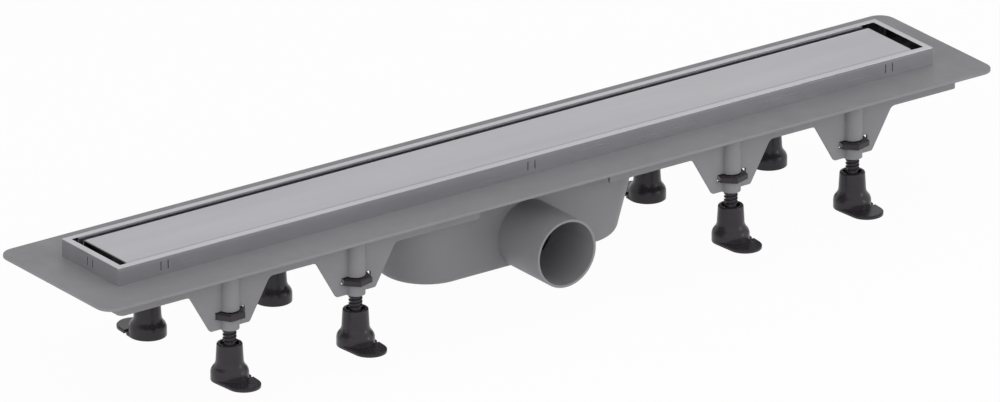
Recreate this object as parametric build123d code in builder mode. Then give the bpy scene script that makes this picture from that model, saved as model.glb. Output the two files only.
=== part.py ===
from build123d import *
import math
import os

os.makedirs("parts", exist_ok=True)

# A linear shower drain that stands on eight screw feet. Millimetres, +Z up.
# The origin is on the floor below the middle of the channel, +X runs along the channel
# and the outlet points towards -Y.

# Levels above the floor
flange_top = 83.1
frame_height = 13.2
rim_top = flange_top + frame_height

# Steel frame, a sheet folded into an upside-down U and run round in a rectangle
frame_length = 700.0
frame_width = 68.0
rim_width = 4.8
frame_sheet = 1.0
frame_inner_depth = 16.0
frame_edge_radius = 0.4
tab_end_distance = 38.7
tab_width = 5.2
tab_height = 6.4
tab_slit = 0.8
lug_height = 3.0
lug_press = 0.3
lug_play = 0.2

# Channel moulding: flange, upstand under the frame, trough and skirt
flange_margin_end = 32.4
flange_margin_side = 32.7
flange_thickness = 2.0
flange_corner_radius = 12.0
flange_edge_radius = 0.7
frame_play = 0.2
trough_depth = 12.0
trough_fall = 3.0
trough_wall = 2.0
trough_flat = 190.0
skirt_overhang_end = 9.7
skirt_overhang_side = 16.0
skirt_depth = 14.7
skirt_wall = 2.2
skirt_corner_radius = 4.0
rib_pitch = 53.7
rib_wall = 1.8
rib_step = 1.5
outlet_gap = 112.0

# Brackets and sockets of the eight screw feet
inner_leg_x = 161.5
outer_leg_inset = 82.0
leg_setback = 0.7
bracket_drop = 44.4
bracket_top_width = 67.5
bracket_bottom_width = 33.0
bracket_wall = 1.8
bracket_root_radius = 5.0
bracket_tip_radius = 2.0
socket_radius = 7.1
boss_radius = 7.0
boss_drop = 45.2
gusset_drop = 30.0
gusset_wall = 2.2

# Screw, nut and foot
screw_radius = 4.9
screw_neck_radius = 4.0
screw_length = 62.0
socket_play = 0.25
thread_play = 0.05
nut_flats = 20.7
nut_height = 4.8
nut_chamfer = 0.7
nut_play = 0.3
nut_top_drop = 31.4
slot_width = 25.0
foot_height = 26.9
foot_top_radius = 9.35
foot_waist_radius = 9.8
foot_waist_height = 17.0
foot_flare_radius = 10.8
foot_flare_height = 12.8
foot_base_radius = 13.45
foot_base_height = 7.0
foot_plate = 2.4
foot_plate_edge = 0.6
foot_mouth_radius = 5.8
foot_mouth_depth = 3.0
toe_reach = 16.7
toe_radius = 12.1

# Sump with its outlet spigot
sump_length = 225.0
sump_width = 72.8
sump_front = 28.5
sump_draft = 17.7
sump_depth = 56.0
sump_wall = 2.3
sump_bottom_radius = 8.0
spigot_radius = 25.0
spigot_wall = 1.8
spigot_root_step = 0.5
spigot_reach = 75.7
spigot_centre_drop = 46.0

# Cover plate and its supports
cover_recess = 1.2
cover_gap_side = 2.6
cover_gap_end = 8.0
cover_sheet = 2.0
cover_lip = 8.0
cover_edge_radius = 0.5
outer_support_inset = 65.0
support_length = 14.0
support_leg = 9.0
support_top = 4.0
seat_rise = 0.5

# Trap insert: plate with dip tube, seal, hanging cup and hair strainer
drain_hole_length = 150.0
drain_hole_width = 48.0
trap_flange_length = 158.0
trap_flange_width = 56.0
trap_flange_thickness = 2.0
trap_plug_depth = 9.0
trap_plug_wall = 2.0
seal_width = 1.5
seal_height = 1.8
dip_length = 112.0
dip_width = 26.0
dip_wall = 1.8
dip_bottom = 27.0
cup_length = 128.0
cup_width = 42.0
cup_wall = 1.8
cup_rim = 54.0
cup_bottom = 17.0
cup_post = 6.0
strainer_length = 124.0
strainer_width = 40.0
strainer_sheet = 1.5
strainer_slot_length = 12.0
strainer_slot_width = 2.4
strainer_slot_count = 11
strainer_slot_pitch = 9.0
strainer_row_pitch = 16.0
handle_length = 18.0
handle_height = 9.0
handle_wall = 2.4

# Sizes that follow from the ones above
flange_length = frame_length + 2 * flange_margin_end
flange_width = frame_width + 2 * flange_margin_side
flange_under = flange_top - flange_thickness
skirt_length = frame_length + 2 * skirt_overhang_end
skirt_width = frame_width + 2 * skirt_overhang_side
rib_count = int(skirt_length / 2 / rib_pitch - 0.5)
tab_x = frame_length / 2 - tab_end_distance
rim_inner_length = frame_length - 2 * rim_width
rim_inner_width = frame_width - 2 * rim_width
upstand_inset = frame_sheet + frame_play
upstand_length = frame_length - 2 * upstand_inset
upstand_width = frame_width - 2 * upstand_inset
trough_length = rim_inner_length + 2 * upstand_inset
trough_width = rim_inner_width + 2 * upstand_inset
upstand_top = rim_top - frame_sheet
floor_low = flange_top - trough_depth
floor_high = floor_low + trough_fall
skirt_bottom = flange_top - skirt_depth
outer_leg_x = frame_length / 2 - outer_leg_inset
leg_y = skirt_width / 2 - leg_setback
leg_stations = [-outer_leg_x, -inner_leg_x, inner_leg_x, outer_leg_x]
leg_places = [(x, side) for side in (-1, 1) for x in leg_stations]
nut_top = flange_top - nut_top_drop
nut_bottom = nut_top - nut_height
slot_top = nut_top + nut_play
slot_bottom = nut_bottom - nut_play
boss_bottom = flange_top - boss_drop
sump_y = sump_width / 2 - sump_front
socket_top = flange_under - 0.5
spigot_z = flange_top - spigot_centre_drop
cover_top = rim_top - cover_recess
cover_under = cover_top - cover_sheet
cover_length = rim_inner_length - 2 * cover_gap_end
cover_width = rim_inner_width - 2 * cover_gap_side
support_width = cover_width - 2 * cover_sheet - 0.4
seat_top = floor_high + seat_rise
outer_support_x = frame_length / 2 - outer_support_inset
support_places = [-outer_support_x, -outer_support_x / 3, outer_support_x / 3, outer_support_x]


def finish(piece, name):
    """Label a finished piece and write it to its own file."""
    piece.part.label = name
    export_step(piece.part, f"parts/{name}.step")


def trough_line(half_length, lowered):
    """The trough floor from end to end, lowered by its wall where that is asked for."""
    flat = trough_flat / 2
    return [
        (-half_length, floor_high - lowered),
        (-flat, floor_low - lowered),
        (flat, floor_low - lowered),
        (half_length, floor_high - lowered),
    ]


# Channel moulding
with BuildPart() as channel_body:
    with BuildSketch(Plane.XY.offset(flange_under)):
        RectangleRounded(flange_length, flange_width, flange_corner_radius)
    extrude(amount=flange_thickness)
    flange_rim = channel_body.edges().group_by(Axis.Z)[-1]
    fillet(flange_rim, flange_edge_radius)

    # Upstand and trough as one block, hollowed further down
    with BuildSketch(Plane.XY.offset(flange_top)):
        Rectangle(upstand_length, upstand_width)
    extrude(amount=upstand_top - flange_top)
    with BuildSketch(Plane.XZ):
        with BuildLine():
            Polyline(
                (-upstand_length / 2, flange_top),
                *trough_line(upstand_length / 2, trough_wall),
                (upstand_length / 2, flange_top),
                close=True,
            )
        make_face()
    extrude(amount=upstand_width / 2, both=True)

    # Skirt below the flange
    with BuildSketch(Plane.XY.offset(skirt_bottom)):
        RectangleRounded(skirt_length, skirt_width, skirt_corner_radius)
        RectangleRounded(
            skirt_length - 2 * skirt_wall,
            skirt_width - 2 * skirt_wall,
            skirt_corner_radius - skirt_wall,
            mode=Mode.SUBTRACT,
        )
    extrude(amount=flange_under - skirt_bottom)

    # Cross ribs between the trough and the skirt, left out where the outlet pipe passes
    rib_reach = (skirt_width - upstand_width) / 2
    rib_steps = range(-rib_count, rib_count + 1)
    ribs = [(step * rib_pitch, side) for step in rib_steps for side in (-1, 1)]
    with BuildSketch(Plane.XY.offset(skirt_bottom + rib_step)):
        for x, side in ribs:
            if side > 0 or abs(x) > outlet_gap / 2:
                with Locations((x, side * (upstand_width + rib_reach) / 2)):
                    Rectangle(rib_wall, rib_reach)
    extrude(amount=flange_under - skirt_bottom - rib_step)

    # Collar that carries the sump: a plate below the flange, as wide as the sump's mouth
    with BuildSketch(Plane.XY.offset(floor_low - trough_wall)):
        with Locations((0, sump_y)):
            SlotOverall(sump_length, sump_width)
    extrude(amount=trough_wall)
    with BuildSketch(Plane.XY.offset(floor_low)):
        with Locations((0, sump_y)):
            SlotOverall(sump_length, sump_width)
            SlotOverall(sump_length - 2 * sump_wall, sump_width - 2 * sump_wall, mode=Mode.SUBTRACT)
    extrude(amount=flange_under - floor_low)

    # Gap in the front skirt, where the outlet pipe's coupling passes
    with BuildSketch(Plane.XY.offset(skirt_bottom)):
        with Locations((0, -skirt_width / 2)):
            Rectangle(outlet_gap, 2 * skirt_wall)
    extrude(amount=flange_under - skirt_bottom, mode=Mode.SUBTRACT)

    # Brackets, flush with the skirt's outer face
    bracket_bottom = flange_top - bracket_drop
    bracket_shoulder = bracket_top_width / 2 + 2 * bracket_root_radius
    for x, side in leg_places:
        face = Plane(origin=(x, side * skirt_width / 2, 0), x_dir=(1, 0, 0), z_dir=(0, -1, 0))
        with BuildSketch(face) as bracket_face:
            with BuildLine():
                Polyline(
                    (-bracket_shoulder, skirt_bottom + skirt_wall),
                    (-bracket_shoulder, skirt_bottom),
                    (-bracket_top_width / 2, skirt_bottom),
                    (-bracket_bottom_width / 2, bracket_bottom),
                    (bracket_bottom_width / 2, bracket_bottom),
                    (bracket_top_width / 2, skirt_bottom),
                    (bracket_shoulder, skirt_bottom),
                    (bracket_shoulder, skirt_bottom + skirt_wall),
                    close=True,
                )
            make_face()
            fillet(bracket_face.vertices().group_by(Axis.Y)[0], bracket_tip_radius)
            roots = bracket_face.vertices().group_by(Axis.Y)[-2].sort_by(Axis.X)[1:3]
            fillet(roots, bracket_root_radius)
        extrude(amount=side * bracket_wall)

    # Screw sockets above the nut slots and bosses below them
    with BuildSketch(Plane.XY.offset(slot_top)):
        for x, side in leg_places:
            with Locations((x, side * leg_y)):
                Circle(socket_radius)
    extrude(amount=flange_under - slot_top)
    with BuildSketch(Plane.XY.offset(boss_bottom)):
        for x, side in leg_places:
            with Locations((x, side * leg_y)):
                Circle(boss_radius)
    extrude(amount=slot_bottom - boss_bottom)

    # Gussets from the trough to the brackets, behind the sockets
    gusset_back = upstand_width / 2
    gusset_front = skirt_width / 2 - bracket_wall / 2
    for x, side in leg_places:
        web = Plane(origin=(x, 0, 0), x_dir=(0, side, 0), z_dir=(side, 0, 0))
        with BuildSketch(web):
            with BuildLine():
                Polyline(
                    (gusset_back, flange_under),
                    (gusset_back, floor_low - trough_wall),
                    (gusset_front, flange_top - gusset_drop),
                    (gusset_front, flange_under),
                    close=True,
                )
            make_face()
        extrude(amount=gusset_wall / 2, both=True)

    # Nut slots through the brackets, then the screw bores
    for x, side in leg_places:
        with BuildSketch(Plane.XY.offset(slot_bottom)):
            with Locations((x, side * leg_y)):
                Rectangle(slot_width, slot_width)
        extrude(amount=slot_top - slot_bottom, mode=Mode.SUBTRACT)
    with BuildSketch(Plane.XY.offset(boss_bottom)):
        for x, side in leg_places:
            with Locations((x, side * leg_y)):
                Circle(screw_radius + socket_play)
    extrude(amount=socket_top - boss_bottom, mode=Mode.SUBTRACT)

    # Inside of the trough, with its floor falling to the middle
    with BuildSketch(Plane.XZ):
        with BuildLine():
            Polyline(
                (-trough_length / 2, upstand_top),
                *trough_line(trough_length / 2, 0),
                (trough_length / 2, upstand_top),
                close=True,
            )
        make_face()
    extrude(amount=trough_width / 2, both=True, mode=Mode.SUBTRACT)

    # Flat seats for the cover supports
    with BuildSketch(Plane.XY.offset(floor_low - trough_wall / 2)):
        for x in support_places:
            for side in (-1, 1):
                with Locations((x, side * (support_width - support_leg) / 2)):
                    Rectangle(support_length, support_leg)
    extrude(amount=seat_top - floor_low + trough_wall / 2)

    # Drain hole into the sump
    with BuildSketch(Plane.XY.offset(floor_low - trough_wall)):
        SlotOverall(drain_hole_length, drain_hole_width)
    extrude(amount=trough_wall, mode=Mode.SUBTRACT)

    # Recesses that the lugs of the frame's tabs snap into
    tab_centre = flange_top + frame_height / 2
    with BuildSketch(Plane.XY.offset(tab_centre - lug_height / 2 - lug_play)):
        for side in (-1, 1):
            for x in (-tab_x, 0, tab_x):
                with Locations((x, side * upstand_width / 2)):
                    Rectangle(tab_width + 2 * lug_play, 2 * lug_press)
            with Locations((side * upstand_length / 2, 0)):
                Rectangle(2 * lug_press, tab_width + 2 * lug_play)
    extrude(amount=lug_height + 2 * lug_play, mode=Mode.SUBTRACT)
finish(channel_body, "channel_body")

# Sump: a tub with rounded, sloping ends, open at the top, and the spigot at its front
sump_top = floor_low - trough_wall
sump_bottom = sump_top - sump_depth
end_slope = math.tan(math.radians(sump_draft))
spigot_mouth = Plane(origin=(0, -spigot_reach, spigot_z), x_dir=(1, 0, 0), z_dir=(0, 1, 0))
floor_length = sump_length - 2 * sump_depth * end_slope
with BuildPart() as sump_inside:
    with BuildSketch(Plane.XY.offset(sump_bottom + sump_wall)):
        with Locations((0, sump_y)):
            SlotOverall(floor_length - 2 * sump_wall * (1 - end_slope), sump_width - 2 * sump_wall)
    with BuildSketch(Plane.XY.offset(sump_top)):
        with Locations((0, sump_y)):
            SlotOverall(sump_length - 2 * sump_wall, sump_width - 2 * sump_wall)
    loft(ruled=True)
    fillet(sump_inside.edges().group_by(Axis.Z)[0], sump_bottom_radius - sump_wall)
with BuildPart() as sump:
    with BuildSketch(Plane.XY.offset(sump_bottom)):
        with Locations((0, sump_y)):
            SlotOverall(floor_length, sump_width)
    with BuildSketch(Plane.XY.offset(sump_top)):
        with Locations((0, sump_y)):
            SlotOverall(sump_length, sump_width)
    loft(ruled=True)
    fillet(sump.edges().group_by(Axis.Z)[0], sump_bottom_radius)
    with BuildSketch(spigot_mouth):
        Circle(spigot_radius)
    extrude(amount=spigot_reach - sump_front)
    with BuildSketch(spigot_mouth.offset(spigot_reach - sump_front)):
        Circle(spigot_radius - spigot_root_step)
    extrude(amount=sump_bottom_radius)
    add(sump_inside.part, mode=Mode.SUBTRACT)
    with BuildSketch(spigot_mouth):
        Circle(spigot_radius - spigot_wall)
    extrude(amount=spigot_reach - sump_front + sump_bottom_radius, mode=Mode.SUBTRACT)
finish(sump, "sump")

# Steel frame
with BuildPart() as steel_frame:
    with BuildSketch(Plane.XY.offset(flange_top)):
        Rectangle(frame_length, frame_width)
    extrude(amount=frame_height)
    upright = steel_frame.edges().filter_by(Axis.Z)
    crown = steel_frame.edges().group_by(Axis.Z)[-1]
    fillet(upright + crown, frame_edge_radius)
    with BuildSketch(Plane.XY.offset(flange_top)):
        Rectangle(frame_length - 2 * frame_sheet, frame_width - 2 * frame_sheet)
    extrude(amount=frame_height - frame_sheet, mode=Mode.SUBTRACT)
    with BuildSketch(Plane.XY.offset(rim_top - frame_inner_depth)):
        Rectangle(rim_inner_length + 2 * frame_sheet, rim_inner_width + 2 * frame_sheet)
    extrude(amount=frame_inner_depth - frame_sheet)
    with BuildSketch(Plane.XY.offset(rim_top - frame_inner_depth)):
        Rectangle(rim_inner_length, rim_inner_width)
    extrude(amount=frame_inner_depth, mode=Mode.SUBTRACT)

    # Tabs: a strip between two slits, with a lug pressed in towards the upstand
    walls = [
        Plane(origin=(x, side * frame_width / 2, tab_centre), x_dir=(1, 0, 0), z_dir=(0, side, 0))
        for side in (-1, 1)
        for x in (-tab_x, 0, tab_x)
    ]
    walls += [
        Plane(origin=(side * frame_length / 2, 0, tab_centre), x_dir=(0, 1, 0), z_dir=(side, 0, 0))
        for side in (-1, 1)
    ]
    for wall in walls:
        with BuildSketch(wall):
            with GridLocations(tab_width + tab_slit, 0, 2, 1):
                Rectangle(tab_slit, tab_height)
        extrude(amount=-frame_sheet, mode=Mode.SUBTRACT)
        with BuildSketch(wall.offset(-frame_sheet)):
            Rectangle(tab_width, lug_height)
        extrude(amount=-lug_press)
finish(steel_frame, "steel_frame")

# Cover plate, a shallow tray turned upside down
with BuildPart() as cover_plate:
    with BuildSketch(Plane.XY.offset(cover_under - cover_lip)):
        Rectangle(cover_length, cover_width)
    extrude(amount=cover_lip + cover_sheet)
    fillet(cover_plate.edges().group_by(Axis.Z)[-1], cover_edge_radius)
    with BuildSketch(Plane.XY.offset(cover_under - cover_lip)):
        Rectangle(cover_length - 2 * cover_sheet, cover_width - 2 * cover_sheet)
    extrude(amount=cover_lip, mode=Mode.SUBTRACT)
finish(cover_plate, "cover_plate")

# Supports that carry the cover plate over the trough
for number, x in enumerate(support_places, start=1):
    with BuildPart() as cover_support:
        end_face = Plane(origin=(x - support_length / 2, 0, 0), x_dir=(0, 1, 0), z_dir=(1, 0, 0))
        with BuildSketch(end_face):
            with Locations((0, (seat_top + cover_under) / 2)):
                Rectangle(support_width, cover_under - seat_top)
            arch_width = support_width - 2 * support_leg
            with Locations((0, (seat_top + cover_under - support_top) / 2)):
                Rectangle(arch_width, cover_under - support_top - seat_top, mode=Mode.SUBTRACT)
        extrude(amount=support_length)
    finish(cover_support, f"cover_support_{number}")

# Trap plate: a flange on the trough floor, a plug in the drain hole and a dip tube
plug_length = drain_hole_length - 2 * seal_width
plug_width = drain_hole_width - 2 * seal_width
trap_top = floor_low + trap_flange_thickness
with BuildPart() as trap_plate:
    with BuildSketch(Plane.XY.offset(floor_low)):
        SlotOverall(trap_flange_length, trap_flange_width)
    extrude(amount=trap_flange_thickness)
    with BuildSketch(Plane.XY.offset(floor_low - trap_plug_depth)):
        SlotOverall(plug_length, plug_width)
        SlotOverall(plug_length - 2 * trap_plug_wall, plug_width - 2 * trap_plug_wall, mode=Mode.SUBTRACT)
    extrude(amount=trap_plug_depth)
    with BuildSketch(Plane.XY.offset(dip_bottom)):
        SlotOverall(dip_length, dip_width)
    extrude(amount=floor_low - dip_bottom)
    with BuildSketch(Plane.XY.offset(dip_bottom)):
        SlotOverall(dip_length - 2 * dip_wall, dip_width - 2 * dip_wall)
    extrude(amount=trap_top - dip_bottom, mode=Mode.SUBTRACT)
finish(trap_plate, "trap_plate")

# Seal between the plug and the drain hole
with BuildPart() as trap_seal:
    with BuildSketch(Plane.XY.offset(floor_low - seal_height)):
        SlotOverall(drain_hole_length, drain_hole_width)
        SlotOverall(plug_length, plug_width, mode=Mode.SUBTRACT)
    extrude(amount=seal_height)
finish(trap_seal, "trap_seal")

# Trap cup, hung from the trap plate by two end posts
with BuildPart() as trap_cup:
    with BuildSketch(Plane.XY.offset(cup_bottom)):
        SlotOverall(cup_length, cup_width)
    extrude(amount=cup_rim - cup_bottom)
    with BuildSketch(Plane.XY.offset(cup_bottom + cup_wall)):
        SlotOverall(cup_length - 2 * cup_wall, cup_width - 2 * cup_wall)
    extrude(amount=cup_rim - cup_bottom - cup_wall, mode=Mode.SUBTRACT)
    with BuildSketch(Plane.XY.offset(cup_rim)):
        SlotOverall(cup_length, cup_width)
        SlotOverall(cup_length - 2 * cup_wall, cup_width - 2 * cup_wall, mode=Mode.SUBTRACT)
        Rectangle(cup_length, 2 * cup_post, mode=Mode.INTERSECT)
    extrude(amount=floor_low - cup_rim)
finish(trap_cup, "trap_cup")

# Hair strainer with a lifting handle
with BuildPart() as hair_strainer:
    with BuildSketch(Plane.XY.offset(trap_top)):
        SlotOverall(strainer_length, strainer_width)
        for row in (-1, 1):
            with Locations((0, row * strainer_row_pitch / 2)):
                with GridLocations(strainer_slot_pitch, 0, strainer_slot_count, 1):
                    SlotOverall(strainer_slot_length, strainer_slot_width, rotation=90, mode=Mode.SUBTRACT)
    extrude(amount=strainer_sheet)
    strainer_top = trap_top + strainer_sheet
    with BuildSketch(Plane.XZ):
        with Locations((0, strainer_top + handle_height / 2)):
            Rectangle(handle_length, handle_height)
        with Locations((0, strainer_top + (handle_height - handle_wall) / 2)):
            Rectangle(handle_length - 2 * handle_wall, handle_height - handle_wall, mode=Mode.SUBTRACT)
    extrude(amount=handle_wall / 2, both=True)
finish(hair_strainer, "hair_strainer")

# Eight legs, each a screw, its nut and a foot
neck_bottom = foot_plate + 2.0
screw_bottom = foot_height + 1.0
for x, side in leg_places:
    row = "front" if side < 0 else "rear"
    number = leg_stations.index(x) + 1
    y = side * leg_y

    with BuildPart() as leg_screw:
        with BuildSketch(Plane.XY.offset(neck_bottom)):
            with Locations((x, y)):
                Circle(screw_neck_radius)
        extrude(amount=screw_bottom - neck_bottom)
        with BuildSketch(Plane.XY.offset(screw_bottom)):
            with Locations((x, y)):
                Circle(screw_radius)
        extrude(amount=neck_bottom + screw_length - screw_bottom)
    finish(leg_screw, f"leg_screw_{row}_{number}")

    with BuildPart() as leg_nut:
        with BuildSketch(Plane.XY.offset(nut_bottom)):
            with Locations((x, y)):
                RegularPolygon(nut_flats / 2, 6, major_radius=False, rotation=0)
        extrude(amount=nut_height)
        chamfer(leg_nut.edges().group_by(Axis.Z)[0] + leg_nut.edges().group_by(Axis.Z)[-1], nut_chamfer)
        with BuildSketch(Plane.XY.offset(nut_bottom)):
            with Locations((x, y)):
                Circle(screw_radius + thread_play)
        extrude(amount=nut_height, mode=Mode.SUBTRACT)
    finish(leg_nut, f"leg_nut_{row}_{number}")

    with BuildPart() as foot:
        with BuildSketch(Plane.XY):
            with Locations((x, y)):
                Circle(foot_base_radius)
            with Locations((x, y + side * toe_reach)):
                Circle(toe_radius)
            make_hull()
        extrude(amount=foot_plate)
        chamfer(foot.edges().group_by(Axis.Z)[-1], foot_plate_edge)
        section = Plane(origin=(x, y, 0), x_dir=(1, 0, 0), z_dir=(0, -1, 0))
        with BuildSketch(section):
            with BuildLine():
                Line((0, 0), (foot_base_radius, 0))
                Line((foot_base_radius, 0), (foot_base_radius, foot_base_height))
                ThreePointArc(
                    (foot_base_radius, foot_base_height),
                    (foot_flare_radius, foot_flare_height),
                    (foot_waist_radius, foot_waist_height),
                )
                Line((foot_waist_radius, foot_waist_height), (foot_top_radius, foot_height))
                Line((foot_top_radius, foot_height), (0, foot_height))
                Line((0, foot_height), (0, 0))
            make_face()
        revolve(axis=Axis((x, y, 0), (0, 0, 1)))
        with BuildSketch(Plane.XY.offset(foot_height - foot_mouth_depth)):
            with Locations((x, y)):
                Circle(foot_mouth_radius)
        extrude(amount=foot_mouth_depth, mode=Mode.SUBTRACT)
        with BuildSketch(Plane.XY.offset(neck_bottom)):
            with Locations((x, y)):
                Circle(screw_neck_radius)
        extrude(amount=foot_height - neck_bottom, mode=Mode.SUBTRACT)
    finish(foot, f"foot_{row}_{number}")
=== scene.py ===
import math

import bmesh
import bpy
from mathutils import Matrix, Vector


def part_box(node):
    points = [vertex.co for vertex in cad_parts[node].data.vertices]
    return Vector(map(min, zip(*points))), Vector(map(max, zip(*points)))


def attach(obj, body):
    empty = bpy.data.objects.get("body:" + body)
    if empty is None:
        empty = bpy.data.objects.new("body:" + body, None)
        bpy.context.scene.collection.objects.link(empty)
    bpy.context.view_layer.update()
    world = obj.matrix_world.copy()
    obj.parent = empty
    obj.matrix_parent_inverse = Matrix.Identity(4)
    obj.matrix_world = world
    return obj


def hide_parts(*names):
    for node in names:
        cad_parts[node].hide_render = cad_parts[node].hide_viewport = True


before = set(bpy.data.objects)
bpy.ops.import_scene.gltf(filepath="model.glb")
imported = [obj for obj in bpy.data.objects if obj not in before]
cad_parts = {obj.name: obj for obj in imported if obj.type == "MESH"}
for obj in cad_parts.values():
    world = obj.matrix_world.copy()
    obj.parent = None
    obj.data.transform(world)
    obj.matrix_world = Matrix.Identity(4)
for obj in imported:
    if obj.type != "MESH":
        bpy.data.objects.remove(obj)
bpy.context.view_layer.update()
scene = bpy.context.scene
scene.view_settings.view_transform = "Standard"

# Camera: a very long lens, close to the parallel projection of the photograph
AZIMUTH = math.radians(35.968)
ELEVATION = math.radians(22.105)
DISTANCE = 13.24
TARGET = Vector((-0.00078, 0.00219, 0.05122))
forward = Vector((
    math.sin(AZIMUTH) * math.cos(ELEVATION),
    math.cos(AZIMUTH) * math.cos(ELEVATION),
    -math.sin(ELEVATION),
))
lens = bpy.data.cameras.new("camera")
lens.sensor_width = 36.0
lens.lens = 683.75
lens.clip_start = 1.0
lens.clip_end = 60.0
camera = bpy.data.objects.new("camera", lens)
camera.location = TARGET - forward * DISTANCE
camera.rotation_mode = "QUATERNION"
camera.rotation_quaternion = forward.to_track_quat("-Z", "Y")
scene.collection.objects.link(camera)
scene.camera = camera


def linear(*srgb):
    """A display colour, 0 to 1, as the linear colour that a shader takes."""
    return tuple(c / 12.92 if c <= 0.04045 else ((c + 0.055) / 1.055) ** 2.4 for c in srgb)


# A face whose normal has less than this upwards looks down
DOWNWARD = -0.1


class Nodes:
    """A small helper that makes and links the nodes of one material, or of the world."""

    def __init__(self, owner):
        self.owner = owner
        owner.use_nodes = True
        self.tree = owner.node_tree
        self.tree.nodes.clear()

    def new(self, kind, **settings):
        node = self.tree.nodes.new(kind)
        for key, value in settings.items():
            setattr(node, key, value)
        return node

    def link(self, source, target):
        self.tree.links.new(source, target)

    def noise(self, scale, stretch=(1, 1, 1), detail=3.0, roughness=0.55):
        """Noise in object space; stretch makes it longer along an axis."""
        where = self.new("ShaderNodeTexCoord")
        mapping = self.new("ShaderNodeMapping")
        mapping.inputs["Scale"].default_value = stretch
        noise = self.new("ShaderNodeTexNoise")
        noise.inputs["Scale"].default_value = scale
        noise.inputs["Detail"].default_value = detail
        noise.inputs["Roughness"].default_value = roughness
        self.link(where.outputs["Object"], mapping.inputs["Vector"])
        self.link(mapping.outputs["Vector"], noise.inputs["Vector"])
        return noise.outputs["Fac"]

    def spread(self, value, low, high):
        """Maps a value of about 0.3 to 0.7 to a range of numbers."""
        ramp = self.new("ShaderNodeMapRange")
        ramp.inputs["From Min"].default_value = 0.3
        ramp.inputs["From Max"].default_value = 0.7
        ramp.inputs["To Min"].default_value = low
        ramp.inputs["To Max"].default_value = high
        self.link(value, ramp.inputs["Value"])
        return ramp.outputs["Result"]

    def tint(self, value, dark, light):
        """Blends two colours by a value."""
        mix = self.new("ShaderNodeMix", data_type="RGBA")
        mix.inputs["A"].default_value = (*dark, 1)
        mix.inputs["B"].default_value = (*light, 1)
        self.link(self.spread(value, 0, 1), mix.inputs["Factor"])
        return mix.outputs["Result"]

    def choose(self, mask, usual, other):
        """A number that is other where the mask is 1; usual may be a value or a socket."""
        choice = self.new("ShaderNodeMapRange")
        if isinstance(usual, float):
            choice.inputs["To Min"].default_value = usual
        else:
            self.link(usual, choice.inputs["To Min"])
        choice.inputs["To Max"].default_value = other
        self.link(mask, choice.inputs["Value"])
        return choice.outputs["Result"]

    def within(self, half_x, half_y):
        """1 inside an upright box about the origin, but 0 on faces that look down."""
        where = self.new("ShaderNodeTexCoord")
        place = self.new("ShaderNodeSeparateXYZ")
        self.link(where.outputs["Object"], place.inputs["Vector"])
        geometry = self.new("ShaderNodeNewGeometry")
        facing = self.new("ShaderNodeSeparateXYZ")
        self.link(geometry.outputs["True Normal"], facing.inputs["Vector"])
        mask = self.new("ShaderNodeMath", operation="GREATER_THAN")
        mask.inputs[1].default_value = DOWNWARD
        self.link(facing.outputs["Z"], mask.inputs[0])
        for axis, half in (("X", half_x), ("Y", half_y)):
            distance = self.new("ShaderNodeMath", operation="ABSOLUTE")
            self.link(place.outputs[axis], distance.inputs[0])
            near = self.new("ShaderNodeMath", operation="LESS_THAN")
            near.inputs[1].default_value = half
            self.link(distance.outputs["Value"], near.inputs[0])
            both = self.new("ShaderNodeMath", operation="MULTIPLY")
            self.link(mask.outputs["Value"], both.inputs[0])
            self.link(near.outputs["Value"], both.inputs[1])
            mask = both
        return mask.outputs["Value"]

    def shown(self):
        """1 for what the camera, a reflection or glass shows, and 0 for plain light."""
        path = self.new("ShaderNodeLightPath")
        sees = path.outputs["Is Camera Ray"]
        for ray in ("Is Glossy Ray", "Is Transmission Ray"):
            either = self.new("ShaderNodeMath", operation="MAXIMUM")
            self.link(sees, either.inputs[0])
            self.link(path.outputs[ray], either.inputs[1])
            sees = either.outputs["Value"]
        return sees

    def bump(self, height, strength, distance, normal=None):
        """Normals with this relief, laid over other normals if there are any."""
        node = self.new("ShaderNodeBump")
        node.inputs["Strength"].default_value = strength
        node.inputs["Distance"].default_value = distance
        self.link(height, node.inputs["Height"])
        if normal is not None:
            self.link(normal, node.inputs["Normal"])
        return node.outputs["Normal"]

    def rounded(self, radius):
        """Normals as if every edge were rounded by this radius."""
        node = self.new("ShaderNodeBevel", samples=4)
        node.inputs["Radius"].default_value = radius
        return node.outputs["Normal"]

    def surface(self, colour, roughness, normal, metallic=0.0, level=0.5):
        """The finished material; metallic may be a number or a socket."""
        shader = self.new("ShaderNodeBsdfPrincipled")
        if isinstance(metallic, float):
            shader.inputs["Metallic"].default_value = metallic
        else:
            self.link(metallic, shader.inputs["Metallic"])
        shader.inputs["Specular IOR Level"].default_value = level
        self.link(colour, shader.inputs["Base Color"])
        self.link(roughness, shader.inputs["Roughness"])
        self.link(normal, shader.inputs["Normal"])
        output = self.new("ShaderNodeOutputMaterial")
        self.link(shader.outputs["BSDF"], output.inputs["Surface"])
        return self.owner


# Depth of the plastic's grain and of its slow waves, and the rounding of its edges
GRAIN_DEPTH = 0.00004
WAVE_DEPTH = 0.0005
MOULDED_EDGE = 0.0003
# Depth of the grinding lines, and the rounding of the sheet's edges
BRUSH_DEPTH = 0.00002
SHEET_EDGE = 0.0002
# Half length and half width of the frame's opening, just past its inner walls
RIM = 0.0048
PAST_WALL = 0.0001
frame_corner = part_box("steel_frame")[1]
OPENING = (frame_corner[0] - RIM + PAST_WALL, frame_corner[1] - RIM + PAST_WALL)
# Roughness of the inner walls, and how much lighter their colour is painted than the outside: painted
# light on the walls of the gap beside the cover
INNER_GLOSS = 0.12
INNER_PAINTED_LIGHT = 1.45


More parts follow.
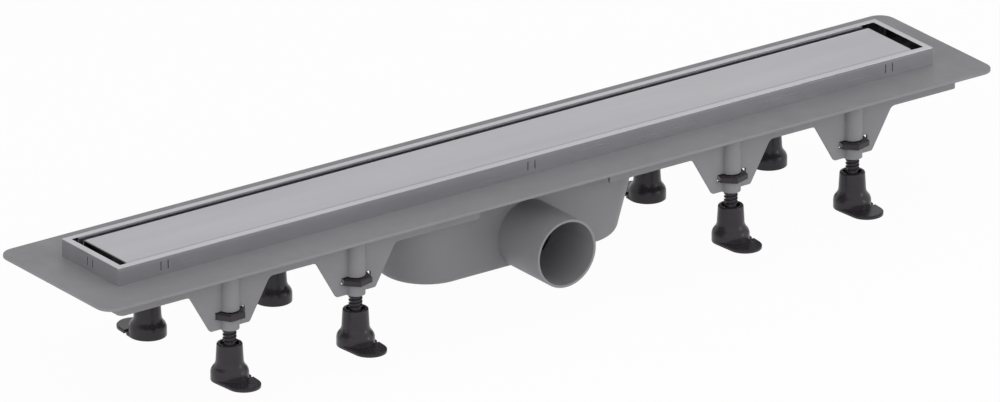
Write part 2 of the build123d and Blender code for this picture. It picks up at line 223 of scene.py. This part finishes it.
def moulded(name, dark, light, rough_low, rough_high, grain=0.12, level=0.5):
    """Moulded plastic: faint cloudy tone, fine grain, slightly uneven gloss."""
    n = Nodes(bpy.data.materials.new(name))
    colour = n.tint(n.noise(scale=14.0, detail=4.0), dark, light)
    roughness = n.spread(n.noise(scale=60.0, detail=4.0), rough_low, rough_high)
    fine = n.noise(scale=2600.0, detail=2.0)
    slow = n.noise(scale=9.0, detail=1.0)
    normal = n.bump(fine, grain, GRAIN_DEPTH, n.rounded(MOULDED_EDGE))
    normal = n.bump(slow, 0.25, WAVE_DEPTH, normal)
    return n.surface(colour, roughness, normal, level=level)


def steel(name, dark, light, rough_low, rough_high, stretch, brushing, metallic, inner=None):
    """Stainless steel: grinding lines along the sheet, cloudy gloss, glossy inner walls with painted
    light in their colour.
    """
    n = Nodes(bpy.data.materials.new(name))
    lines = n.noise(scale=1.0, stretch=stretch, detail=5.0, roughness=0.7)
    clouds = n.noise(scale=10.0, stretch=(0.4, 3, 1), detail=4.0)
    colour = n.tint(clouds, dark, light)
    roughness = n.spread(lines, rough_low, rough_high)
    normal = n.bump(lines, brushing, BRUSH_DEPTH, n.rounded(SHEET_EDGE))
    if inner:
        mask = n.within(*inner)
        # The inner walls are glossier and fully metal, and their colour is painted lighter: painted
        # light in the gap beside the cover
        painted_light = n.new("ShaderNodeVectorMath", operation="SCALE")
        n.link(colour, painted_light.inputs["Vector"])
        n.link(n.choose(mask, 1.0, INNER_PAINTED_LIGHT), painted_light.inputs["Scale"])
        colour = painted_light.outputs["Vector"]
        roughness = n.choose(mask, roughness, INNER_GLOSS)
        metallic = n.choose(mask, metallic, 1.0)
    return n.surface(colour, roughness, normal, metallic=metallic)


channel_plastic = moulded(
    "channel_plastic", linear(0.500, 0.500, 0.514), linear(0.524, 0.523, 0.537), 0.46, 0.60
)
support_plastic = moulded(
    "support_plastic", linear(0.13, 0.13, 0.135), linear(0.16, 0.16, 0.165), 0.45, 0.6
)
trap_plastic = moulded(
    "trap_plastic", linear(0.34, 0.34, 0.345), linear(0.37, 0.37, 0.375), 0.38, 0.5
)
leg_plastic = moulded(
    "leg_plastic", linear(0.165, 0.152, 0.168), linear(0.195, 0.182, 0.198), 0.22, 0.32,
    grain=0.2, level=0.3,
)
seal_rubber = moulded(
    "seal_rubber", linear(0.08, 0.08, 0.08), linear(0.11, 0.11, 0.11), 0.65, 0.8, grain=0.3
)
# Frame: the walls inside its opening carry painted light, a lighter colour than the outside steel
frame_steel = steel(
    "frame_steel", linear(0.69, 0.69, 0.705), linear(0.73, 0.73, 0.745), 0.18, 0.28,
    stretch=(6, 900, 900), brushing=0.15, metallic=0.85, inner=OPENING,
)
cover_steel = steel(
    "cover_steel", linear(0.68, 0.68, 0.70), linear(0.72, 0.72, 0.735), 0.36, 0.42,
    stretch=(5, 1500, 1500), brushing=0.22, metallic=0.6,
)
lip_steel = steel(
    "lip_steel", linear(0.62, 0.62, 0.635), linear(0.66, 0.66, 0.675), 0.30, 0.36,
    stretch=(5, 900, 900), brushing=0.15, metallic=0.7,
)
under_steel = steel(
    "under_steel", linear(0.60, 0.60, 0.61), linear(0.64, 0.64, 0.65), 0.10, 0.16,
    stretch=(5, 900, 900), brushing=0.1, metallic=1.0,
)

finishes = {
    "channel_body": channel_plastic,
    "sump": channel_plastic,
    "steel_frame": frame_steel,
    "cover_plate": cover_steel,
    "cover_support": support_plastic,
    "trap_plate": trap_plastic,
    "trap_cup": trap_plastic,
    "hair_strainer": trap_plastic,
    "trap_seal": seal_rubber,
    "leg_screw": leg_plastic,
    "leg_nut": leg_plastic,
    "foot": leg_plastic,
}
for name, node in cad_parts.items():
    finish = next(m for start, m in finishes.items() if name.startswith(start))
    for place in node.material_slots:
        place.material = finish


def dress(mesh, name, node, body, materials, sharp):
    """Makes a piece that replaces the node; edges over sharp degrees aren't smoothed."""
    bmesh.ops.recalc_face_normals(mesh, faces=mesh.faces)
    data = bpy.data.meshes.new(name)
    mesh.to_mesh(data)
    mesh.free()
    for material in materials:
        data.materials.append(material)
    data.shade_smooth()
    data.set_sharp_from_angle(angle=math.radians(sharp))
    piece = bpy.data.objects.new(name, data)
    scene.collection.objects.link(piece)
    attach(piece, body)
    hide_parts(node)


# Cover plate: one sheet with only its long edges folded down, in place of the plain tray
COVER_SHEET = 0.0010
COVER_BEND = 0.0024
BEND_STEPS = 10
# Faces that reach lower than this share of the bend below the top get the lips' finish
LIP_SHARE = 0.05
low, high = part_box("cover_plate")
half = (high[1] - low[1]) / 2
middle = (high[1] + low[1]) / 2
# Half of the section from the lip's foot to the top, as distance from the middle line and height
outside = [(half, low[2])]
for step in range(BEND_STEPS + 1):
    angle = math.pi / 2 * step / BEND_STEPS
    inward = COVER_BEND * (1 - math.cos(angle))
    drop = COVER_BEND * (1 - math.sin(angle))
    outside.append((half - inward, high[2] - drop))
inside = [(half - COVER_SHEET, low[2]), (half - COVER_SHEET, high[2] - COVER_SHEET)]
right = [(middle + y, z) for y, z in outside]
left = [(middle - y, z) for y, z in reversed(outside)]
under_left = [(middle - y, z) for y, z in inside]
under_right = [(middle + y, z) for y, z in reversed(inside)]
section = right + left + under_left + under_right
mesh = bmesh.new()
ends = [[mesh.verts.new((x, y, z)) for y, z in section] for x in (low[0], high[0])]
first_under = len(right + left)
lip_top = high[2] - COVER_BEND * LIP_SHARE
for index in range(len(section)):
    after = (index + 1) % len(section)
    face = mesh.faces.new((ends[0][index], ends[0][after], ends[1][after], ends[1][index]))
    if first_under <= index < len(section) - 1:
        face.material_index = 2
    elif min(corner.co.z for corner in face.verts) < lip_top:
        face.material_index = 1
mesh.faces.new(ends[0])
mesh.faces.new(list(reversed(ends[1])))
cover_finishes = [cover_steel, lip_steel, under_steel]
dress(mesh, "folded_cover", "cover_plate", "drain", cover_finishes, sharp=40)

# Screws, nuts and feet of the legs, in place of plainer solids
RING_STEPS = 48
PITCH = 0.0026
CREST_RADIUS = 0.0049
ROOT_RADIUS = 0.0037
NECK_RADIUS = 0.0040
# How far the thread starts above the foot, and how far the neck runs on inside it, first at
# its own radius and then narrowed to the root
NECK_LENGTH = 0.001
NECK_RUN = 0.0004
NECK_TAPER = 0.001
THREAD_STEPS = 36
# Length at both ends over which the thread is cut down to the root
THREAD_END = 0.0003
# One turn of the profile: height as a share of the pitch, and radius
THREAD_PROFILE = [
    (0.0, ROOT_RADIUS),
    (0.22, ROOT_RADIUS),
    (0.42, CREST_RADIUS),
    (0.72, CREST_RADIUS),
    (0.92, ROOT_RADIUS),
]
# The nuts' turns in degrees, their chamfers above and below, and how far they sink onto the boss
NUT_TURNS = [1.0, 14.0, 17.0, 16.0]
NUT_CHAMFER = 0.0009
NUT_EDGE = 0.0003
NUT_DROP = 0.00025
NUT_BORE = CREST_RADIUS + 0.00005
# The bell's profile as (radius, height), with its crown and mouth measured down from the top
FOOT_BASE = 0.01345
BASE_TOP = (FOOT_BASE, 0.0052)
FLARE = (0.01175, 0.0096)
WAIST = (0.00975, 0.0146)
CROWN_RADIUS = 0.0091
CROWN_EDGE = 0.001
CROWN_STEPS = 4
FLARE_STEPS = 6
MOUTH_RADIUS = 0.0068
MOUTH_DEPTH = 0.003
# The foot's plate with its toe, and where along the toe its notch begins and ends
FOOT_PLATE = 0.0024
PLATE_EDGE = 0.0006
TOE_REACH = 0.0167
TOE_RADIUS = 0.0121
TOE_STEPS = 24
NOTCH = (0.0076, 0.0106)
NOTCH_DEPTH = 0.0046


def round_ring(radius):
    """Distances from the middle to a circle."""
    return [radius] * RING_STEPS


def hexagon_ring(apothem):
    """Distances from the middle to a hexagon's outline, from one corner round."""
    distances = []
    for step in range(RING_STEPS):
        angle = 2 * math.pi * step / RING_STEPS
        distances.append(apothem / math.cos(angle % (math.pi / 3) - math.pi / 6))
    return distances


def around(centre, radius, angle, height):
    """The point at this angle about an upright axis."""
    return (centre[0] + radius * math.cos(angle), centre[1] + radius * math.sin(angle), height)


def skin(mesh, centre, rings, bored=False, start=0.0):
    """Adds a closed solid over (ring, height) pairs: capped at both ends, or bored right through."""
    made = []
    for distances, height in rings:
        row = []
        for step, distance in enumerate(distances):
            angle = start + 2 * math.pi * step / RING_STEPS
            row.append(mesh.verts.new(around(centre, distance, angle, height)))
        made.append(row)
    joins = list(zip(made, made[1:]))
    if bored:
        joins.append((made[-1], made[0]))
    else:
        mesh.faces.new(list(reversed(made[0])))
        mesh.faces.new(made[-1])
    for lower, upper in joins:
        for step in range(RING_STEPS):
            after = (step + 1) % RING_STEPS
            mesh.faces.new((lower[step], lower[after], upper[after], upper[step]))


def thread(mesh, centre, low, high):
    """Adds a right-hand thread between two heights, run out to the root at both ends."""
    per_turn = len(THREAD_PROFILE)
    turns = math.ceil((high - low) / PITCH) + 2
    made = []
    for turn in range(-1, turns):
        for share, radius in THREAD_PROFILE:
            row = []
            for step in range(THREAD_STEPS):
                angle = 2 * math.pi * step / THREAD_STEPS
                height = low + (turn + share + step / THREAD_STEPS) * PITCH
                reach = radius
                if height <= low + THREAD_END or height >= high - THREAD_END:
                    reach = ROOT_RADIUS
                height = min(max(height, low), high)
                row.append(mesh.verts.new(around(centre, reach, angle, height)))
            made.append(row)
    for index in range(len(made) - 1):
        for step in range(THREAD_STEPS):
            if step + 1 < THREAD_STEPS:
                right_low, right_high = made[index][step + 1], made[index + 1][step + 1]
            elif index + 1 + per_turn < len(made):
                right_low, right_high = made[index + per_turn][0], made[index + 1 + per_turn][0]
            else:
                continue
            mesh.faces.new((made[index][step], right_low, right_high, made[index + 1][step]))


def bend(start, tangent, end, steps):
    """Points of the arc that leaves start along the tangent and meets end, with its last tangent."""
    across = (tangent[1], -tangent[0])
    chord = (end[0] - start[0], end[1] - start[1])
    reach = (chord[0] ** 2 + chord[1] ** 2) / (2 * (chord[0] * across[0] + chord[1] * across[1]))
    centre = (start[0] + reach * across[0], start[1] + reach * across[1])
    first = math.atan2(start[1] - centre[1], start[0] - centre[0])
    last = math.atan2(end[1] - centre[1], end[0] - centre[0])
    sweep = (last - first + math.pi) % (2 * math.pi) - math.pi
    radius = abs(reach)
    points = []
    for step in range(1, steps + 1):
        angle = first + sweep * step / steps
        points.append((centre[0] + radius * math.cos(angle), centre[1] + radius * math.sin(angle)))
    turn = math.copysign(1.0, sweep)
    return points, (-math.sin(last) * turn, math.cos(last) * turn)


def toe_plate(mesh, centre, side):
    """Adds the foot's plate: the hull of two circles, with a notch in one long side."""
    slant = math.asin((FOOT_BASE - TOE_RADIUS) / TOE_REACH)
    outline = []
    for middle, radius, first in ((TOE_REACH, TOE_RADIUS, slant), (0.0, FOOT_BASE, math.pi - slant)):
        sweep = math.pi - 2 * slant if middle else math.pi + 2 * slant
        for step in range(TOE_STEPS + 1):
            angle = first + sweep * step / TOE_STEPS
            outline.append((radius * math.cos(angle), middle + radius * math.sin(angle)))
    for along in NOTCH:
        edge = (FOOT_BASE - along * math.sin(slant)) / math.cos(slant)
        pair = [(edge, along), (FOOT_BASE - NOTCH_DEPTH, along)]
        outline += pair if along == NOTCH[0] else reversed(pair)
    corners = [mesh.verts.new((centre[0] - side * u, centre[1] + side * v, 0.0)) for u, v in outline]
    made = bmesh.ops.extrude_face_region(mesh, geom=[mesh.faces.new(corners)])["geom"]
    top = [part for part in made if isinstance(part, bmesh.types.BMVert)]
    bmesh.ops.translate(mesh, vec=(0, 0, FOOT_PLATE), verts=top)
    rim = [part for part in made if isinstance(part, bmesh.types.BMEdge)]
    bmesh.ops.bevel(mesh, geom=rim, offset=PLATE_EDGE, segments=2, affect="EDGES", clamp_overlap=True)


def screw(centre, low, high, shoulder):
    """A leg screw: its neck from low to the shoulder, then the thread up to high."""
    mesh = bmesh.new()
    thread(mesh, centre, shoulder, high)
    bmesh.ops.remove_doubles(mesh, verts=mesh.verts, dist=1e-7)
    bmesh.ops.dissolve_degenerate(mesh, dist=1e-7, edges=mesh.edges)
    bmesh.ops.holes_fill(mesh, edges=mesh.edges, sides=0)
    neck = [
        (NECK_RADIUS, low),
        (NECK_RADIUS, shoulder + NECK_RUN),
        (ROOT_RADIUS, shoulder + NECK_TAPER),
    ]
    skin(mesh, centre, [(round_ring(radius), height) for radius, height in neck])
    return mesh


def nut(centre, bottom, top, apothem, turn):
    """A bored hexagon nut, chamfered more above than below."""
    mesh = bmesh.new()
    rings = [
        (hexagon_ring(apothem - NUT_EDGE), bottom),
        (hexagon_ring(apothem), bottom + NUT_EDGE),
        (hexagon_ring(apothem), top - NUT_CHAMFER),
        (hexagon_ring(apothem - NUT_CHAMFER), top),
        (round_ring(NUT_BORE), top),
        (round_ring(NUT_BORE), bottom),
    ]
    skin(mesh, centre, rings, bored=True, start=turn)
    return mesh


def foot(centre, top, neck_end, side):
    """A flared bell with a mouth for the screw's neck, on a plate with a notched toe."""
    mesh = bmesh.new()
    upright = (0.0, 1.0)
    crown_start = (CROWN_RADIUS, top - CROWN_EDGE)
    crown_end = (CROWN_RADIUS - CROWN_EDGE, top)
    shoulder, slope = bend(BASE_TOP, upright, FLARE, FLARE_STEPS)
    flare, _ = bend(FLARE, slope, WAIST, FLARE_STEPS)
    crown, _ = bend(crown_start, upright, crown_end, CROWN_STEPS)
    outline = [(FOOT_BASE, FOOT_PLATE - PLATE_EDGE), BASE_TOP, *shoulder, *flare, crown_start, *crown]
    outline += [(MOUTH_RADIUS, top), (MOUTH_RADIUS, top - MOUTH_DEPTH)]
    outline += [(NECK_RADIUS, top - MOUTH_DEPTH), (NECK_RADIUS, neck_end)]
    skin(mesh, centre, [(round_ring(radius), height) for radius, height in outline])
    toe_plate(mesh, centre, side)
    return mesh


for row, side in (("front", -1), ("rear", 1)):
    for number, turn in enumerate(NUT_TURNS, start=1):
        place = f"{row}_{number}"
        low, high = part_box(f"leg_screw_{place}")
        nut_low, nut_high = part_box(f"leg_nut_{place}")
        foot_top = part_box(f"foot_{place}")[1][2]
        centre = ((low[0] + high[0]) / 2, (low[1] + high[1]) / 2)
        apothem = (nut_high[1] - nut_low[1]) / 2
        turned = math.radians(turn)
        dress(
            screw(centre, low[2], high[2], foot_top + NECK_LENGTH),
            f"threaded_screw_{place}", f"leg_screw_{place}", f"leg_{place}",
            [leg_plastic], sharp=40,
        )
        dress(
            nut(centre, nut_low[2] - NUT_DROP, nut_high[2] - NUT_DROP, apothem, turned),
            f"turned_nut_{place}", f"leg_nut_{place}", f"nut_{place}",
            [leg_plastic], sharp=30,
        )
        dress(
            foot(centre, foot_top, low[2], side),
            f"belled_foot_{place}", f"foot_{place}", f"leg_{place}",
            [leg_plastic], sharp=30,
        )

# Stage: a pale floor that stays white to the camera and keeps a faint shadow, low enough
# for the legs when they are screwed right out
LOWEST_FOOT = 0.014
FLOOR_GAP = 0.0002
FLOOR_REACH = 40
FLOOR_GREY = 0.86
FLOOR_GLOW = 0.96
n = Nodes(bpy.data.materials.new("stage_floor"))
paint = n.new("ShaderNodeBsdfDiffuse")
paint.inputs["Color"].default_value = (FLOOR_GREY, FLOOR_GREY, FLOOR_GREY, 1)
glow = n.new("ShaderNodeEmission")
glow.inputs["Color"].default_value = (1, 1, 1, 1)
share = n.new("ShaderNodeMath", operation="MULTIPLY")
share.inputs[1].default_value = FLOOR_GLOW
n.link(n.shown(), share.inputs[0])
blend = n.new("ShaderNodeMixShader")
n.link(share.outputs["Value"], blend.inputs["Fac"])
n.link(paint.outputs["BSDF"], blend.inputs[1])
n.link(glow.outputs["Emission"], blend.inputs[2])
# Clear when looked at from below
geometry = n.new("ShaderNodeNewGeometry")
clear = n.new("ShaderNodeBsdfTransparent")
from_below = n.new("ShaderNodeMixShader")
n.link(geometry.outputs["Backfacing"], from_below.inputs["Fac"])
n.link(blend.outputs["Shader"], from_below.inputs[1])
n.link(clear.outputs["BSDF"], from_below.inputs[2])
output = n.new("ShaderNodeOutputMaterial")
n.link(from_below.outputs["Shader"], output.inputs["Surface"])

corners = [(x * FLOOR_REACH, y * FLOOR_REACH, 0) for x, y in ((-1, -1), (1, -1), (1, 1), (-1, 1))]
floor_mesh = bpy.data.meshes.new("stage_floor")
floor_mesh.from_pydata(corners, [], [(0, 1, 2, 3)])
floor_mesh.materials.append(n.owner)
floor = bpy.data.objects.new("stage_floor", floor_mesh)
floor.location.z = -LOWEST_FOOT - FLOOR_GAP
scene.collection.objects.link(floor)

# World: white to the camera and in reflections, plain ambient light otherwise
AMBIENT = 0.52
n = Nodes(bpy.data.worlds.new("studio"))
background = n.new("ShaderNodeBackground")
background.inputs["Color"].default_value = (1, 1, 1, 1)
n.link(n.choose(n.shown(), AMBIENT, 1.0), background.inputs["Strength"])
output = n.new("ShaderNodeOutputWorld")
n.link(background.outputs["Background"], output.inputs["Surface"])
scene.world = n.owner

LIT_POINT = Vector((0, 0, 0.05))


def softbox(name, place, width, height, power, mirrored=False):
    """A rectangular lamp that looks at the part; reflections show it only if it is mirrored."""
    lamp = bpy.data.lights.new(name, "AREA")
    lamp.shape = "RECTANGLE"
    lamp.size = width
    lamp.size_y = height
    lamp.energy = power
    holder = bpy.data.objects.new(name, lamp)
    holder.location = place
    holder.rotation_mode = "QUATERNION"
    holder.rotation_quaternion = (LIT_POINT - Vector(place)).to_track_quat("-Z", "Y")
    holder.visible_glossy = mirrored
    scene.collection.objects.link(holder)


softbox("key", (1.3, -1.9, 1.5), 3.0, 3.0, 21.0)
softbox("fill", (-1.9, -1.6, 0.9), 4.0, 2.4, 34.0)
softbox("side", (-2.5, 0.3, 0.5), 1.5, 1.0, 6.0)
softbox("edge", (1.7, -1.6, 0.5), 0.5, 1.0, 5.0, mirrored=True)
